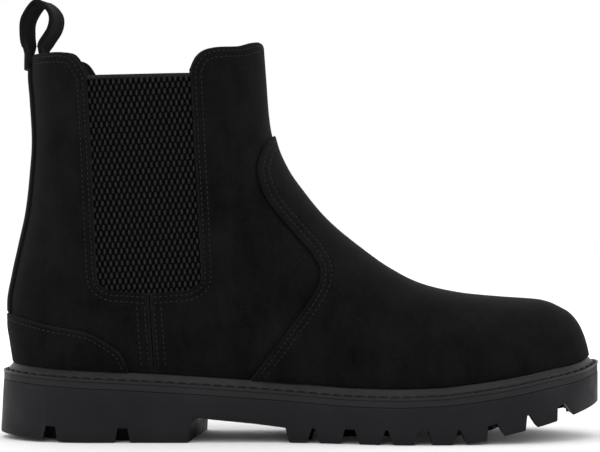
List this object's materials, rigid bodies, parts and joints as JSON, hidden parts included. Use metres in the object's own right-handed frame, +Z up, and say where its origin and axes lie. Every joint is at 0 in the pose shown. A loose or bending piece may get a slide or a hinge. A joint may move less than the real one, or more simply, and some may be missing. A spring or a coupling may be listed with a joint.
{
  "type": "chelsea boot",
  "caption": "Ankle boot with elastic side gores, a lapped vamp, a stitched welt, a pull loop at the heel and a thick lugged sole with a heel block.",
  "frame": {"origin": "on the ground under the middle of the whole boot's box", "axes": "+X from heel to toe, +Y towards the inner (medial) side, +Z up"},
  "size_m": [0.3046, 0.1054, 0.2222],
  "materials": {
    "nubuck": "matt brushed nap",
    "sole_rubber": "matt moulded",
    "rand_rubber": "matt moulded",
    "welt_rubber": "satin moulded",
    "thread": "waxed thread",
    "elastic": "ribbed woven elastic",
    "lining": "knitted textile",
    "footbed_cover": "textile cover on foam",
    "stiffener": "matt",
    "board": "pressed fibre board",
    "cork": "granulated cork",
    "steel": "rolled"
  },
  "bodies": {
    "root": {"outsole": "sole_rubber", "midsole": "rand_rubber", "welt": "welt_rubber", "welt_thread": "thread", "bottom_filler": "cork", "shank": "steel", "insole_board": "board", "footbed": "footbed_cover", "vamp": "nubuck", "front_quarter": "nubuck", "heel_counter_cover": "nubuck", "elastic_gore_lateral": "elastic", "elastic_gore_medial": "elastic", "vamp_lining": "lining", "front_shaft_lining": "lining", "toe_puff": "stiffener", "heel_stiffener": "stiffener"},
    "rear_shaft": {"back_quarter_lateral": "nubuck", "back_quarter_medial": "nubuck", "back_strip": "nubuck", "rear_lining": "lining"},
    "loop": {"pull_loop": "nubuck"}
  },
  "joints": [
    {"name": "collar_open", "type": "hinge", "parent": "root", "child": "rear_shaft", "pos_m": [-0.108, 0, 0.078], "axis": [0, -1, 0], "range_deg": [0, 8], "stiffness_Nm_per_rad": 12, "deforming": ["back_quarter_lateral", "back_quarter_medial", "back_strip", "rear_lining", "elastic_gore_lateral", "elastic_gore_medial"]},
    {"name": "pull_loop_tilt", "type": "hinge", "parent": "rear_shaft", "child": "loop", "pos_m": [-0.1345, 0, 0.194], "axis": [0, 1, 0], "range_deg": [-45, 45], "stiffness_Nm_per_rad": 0.06, "deforming": ["pull_loop"]}
  ]
}
